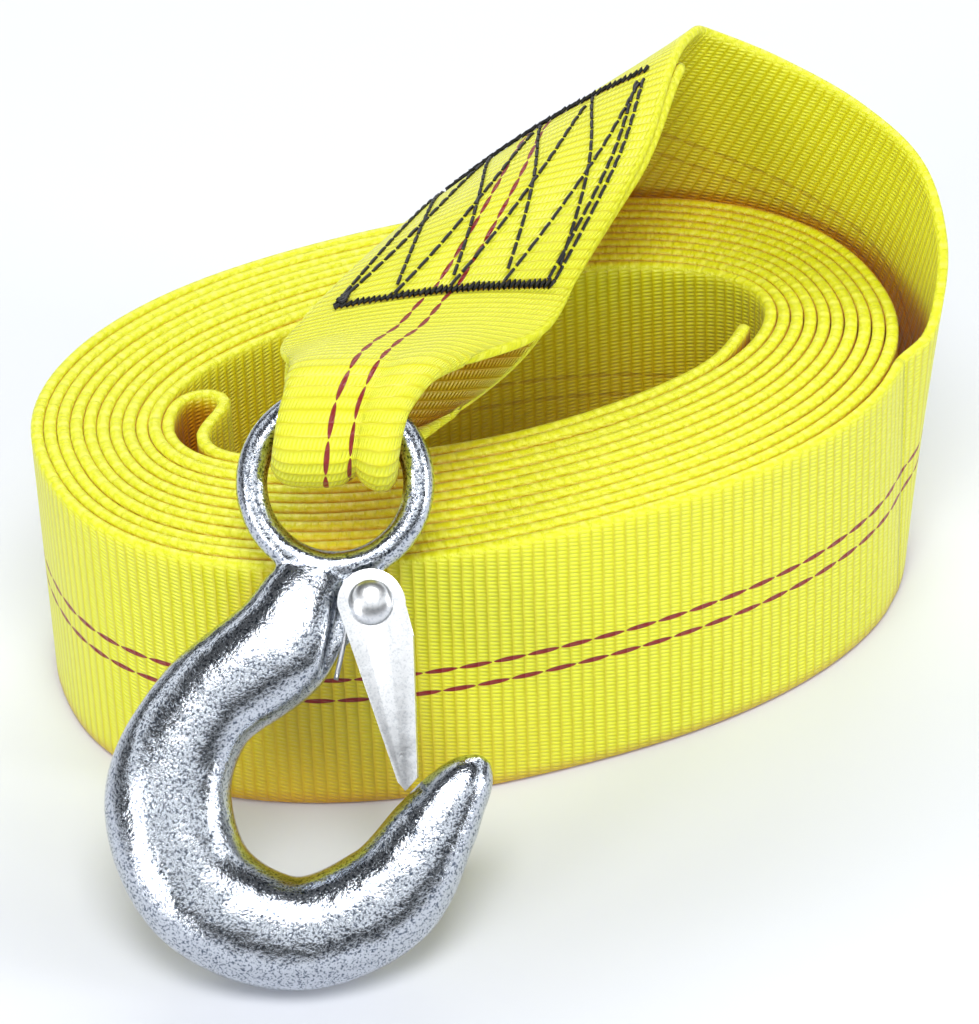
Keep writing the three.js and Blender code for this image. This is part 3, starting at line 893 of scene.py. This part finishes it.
def node_copy(node, name, material):
    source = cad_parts[node]
    obj = bpy.data.objects.new(name, source.data.copy())
    obj.matrix_world = source.matrix_world.copy()
    bpy.context.scene.collection.objects.link(obj)
    obj.data.materials.clear()
    obj.data.materials.append(material)
    return obj


def build_latch():
    obj = node_copy("latch", "latch_rough", SHEET)
    weld = obj.modifiers.new("weld", "WELD")
    weld.merge_threshold = 2e-6
    out = softened(obj, "latch_detail", 0.3)
    out.data.polygons.foreach_set("use_smooth", [True] * len(out.data.polygons))
    return out


def build_rivet():
    half = LATCH_HALF_WIDTH + LATCH_GAP
    profile = [(RIVET_SHANK_RADIUS, 0.0), (RIVET_SHANK_RADIUS, half), (RIVET_HEAD_RADIUS - 0.15, half),
               (RIVET_HEAD_RADIUS, half + 0.15)]
    for turn in np.linspace(0.12, 1.0, 9) * math.pi / 2:
        profile.append((RIVET_HEAD_RADIUS * math.cos(turn), half + RIVET_HEAD_HEIGHT * math.sin(turn)))
    profile[-1] = (0.02, profile[-1][1])
    profile = [(r, -z) for r, z in profile[::-1]][:-1] + profile
    around = 48
    points = []
    for radius, z in profile:
        for i in range(around):
            spin = 2 * math.pi * i / around
            points.append((RIVET[0] + radius * math.cos(spin), RIVET[1] + radius * math.sin(spin), z))
    faces = []
    for j in range(len(profile) - 1):
        for i in range(around):
            k = (i + 1) % around
            faces.append((j * around + i, j * around + k, (j + 1) * around + k, (j + 1) * around + i))
    faces.append(tuple(range(around))[::-1])
    faces.append(tuple(range((len(profile) - 1) * around, len(profile) * around)))
    return joined("rivet_detail", [(points, faces)], SHEET)


def build_spring():
    start = (LUG_THICKNESS + SPRING_WIRE) / 2 + SPRING_SIDE_GAP
    path = [(0.3, -31.5, start), (1.6, -25.5, start)]
    for i in range(13):
        turn = math.pi - 2 * math.pi * i / 12
        x, y = around_rivet(SPRING_COIL_RADIUS, [turn])[0]
        path.append((x, y, start + SPRING_PITCH * i / 12))
    path += [(8.1, -29, start + SPRING_PITCH), (10.6, -37, start + SPRING_PITCH)]
    return tube("spring_detail", [spline(np.array(path), 6)], SPRING_WIRE / 2, WIRE, 10)


# Camera and stage

def place_camera():
    turn = math.radians(CAMERA_TURN)
    pitch = math.radians(CAMERA_PITCH)
    plan = Vector((math.sin(turn), math.cos(turn), 0))
    right = Vector((math.cos(turn), -math.sin(turn), 0))
    forward = plan * math.cos(pitch) - Vector((0, 0, math.sin(pitch)))
    up = right.cross(forward)
    roll = math.radians(CAMERA_ROLL)
    x_axis = right * math.cos(roll) - up * math.sin(roll)
    y_axis = up * math.cos(roll) + right * math.sin(roll)
    rotation = Matrix((x_axis, y_axis, -forward)).transposed()
    data = bpy.data.cameras.new("camera")
    data.lens = CAMERA_LENS
    data.sensor_width = 36
    data.clip_end = 20
    camera = bpy.data.objects.new("camera", data)
    camera.matrix_world = Matrix.Translation(Vector(CAMERA_AT * MM)) @ rotation.to_4x4()
    bpy.context.scene.collection.objects.link(camera)
    bpy.context.scene.camera = camera


def flat_material(name, colour):
    n = Nodes(name)
    n.shader.inputs["Base Color"].default_value = (*colour, 1)
    n.shader.inputs["Roughness"].default_value = 0.9
    n.shader.inputs["Specular IOR Level"].default_value = 0.1
    return n.material


def area_light(name, at, target, size, power):
    data = bpy.data.lights.new(name, "AREA")
    data.shape = "RECTANGLE"
    data.size, data.size_y = size
    data.energy = power
    light = bpy.data.objects.new(name, data)
    direction = Vector(target) - Vector(at)
    facing = direction.to_track_quat("-Z", "Y").to_matrix().to_4x4()
    light.matrix_world = Matrix.Translation(Vector(at)) @ facing
    bpy.context.scene.collection.objects.link(light)


FLOOR_HALF = 3.0
FLOOR_DROP = -0.0002
FLOOR_COLOUR = (0.745, 0.765, 0.815)


def build_stage():
    paint = flat_material("floor", FLOOR_COLOUR)
    corners = [(x * FLOOR_HALF, y * FLOOR_HALF, FLOOR_DROP) for x, y in ((-1, -1), (1, -1), (1, 1), (-1, 1))]
    floor = make_mesh("floor", corners, [(0, 1, 2, 3)], paint)
    bpy.context.scene.world = studio_world()
    area_light("key", (-0.15, -0.45, 0.95), (0, 0, 0.03), (0.45, 0.45), 6.5)
    area_light("back", (0.25, 0.75, 0.75), (0, 0, 0.03), (0.9, 0.35), 5.6)
    area_light("left", (-0.85, -0.45, 0.3), (-0.05, 0, 0.03), (0.25, 0.5), 3.2)
    area_light("right", (0.8, -0.65, 0.35), (0.05, 0, 0.03), (0.25, 0.5), 3.6)


# Pale surroundings with darker bands, which a bright metal shows
WORLD_BANDS = [
    (0.0, 0.5),
    (0.12, 0.85),
    (0.2, 0.02),
    (0.44, 0.01),
    (0.5, 1.7),
    (0.64, 1.8),
    (0.7, 0.02),
    (1.0, 0.2),
]


def studio_world():
    world = bpy.data.worlds.new("studio")
    world.use_nodes = True
    tree = world.node_tree
    direction = tree.nodes.new("ShaderNodeTexCoord")
    split = tree.nodes.new("ShaderNodeSeparateXYZ")
    bands = tree.nodes.new("ShaderNodeValToRGB")
    tree.links.new(direction.outputs["Generated"], split.inputs[0])
    tree.links.new(split.outputs[2], bands.inputs[0])
    elements = bands.color_ramp.elements
    while len(elements) < len(WORLD_BANDS):
        elements.new(0.5)
    for element, (at, level) in zip(elements, WORLD_BANDS):
        element.position = at
        element.color = (0.94 * level, 0.97 * level, level, 1)
    background = tree.nodes["Background"]
    tree.links.new(bands.outputs[0], background.inputs[0])
    background.inputs[1].default_value = 0.9
    return world


bpy.context.scene.view_settings.view_transform = "Standard"
place_camera()
build_stage()
web, web_length = build_webbing()
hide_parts("webbing")
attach(web, "strap")
sewing = stitches()
for piece in sewing:
    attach(piece, "strap")

for build, node, slot in (
    (build_hook_body, "hook_body", "zinc"),
    (build_rivet, "latch_rivet", "zinc"),
    (build_spring, "latch_spring", "wire"),
):
    piece = build()
    piece.data.transform(plane_matrix())
    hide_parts(node)
    if node == "latch_spring":
        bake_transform(piece)
    else:
        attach(piece, "hook")
latch = build_latch()
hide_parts("latch")
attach(latch, "latch")
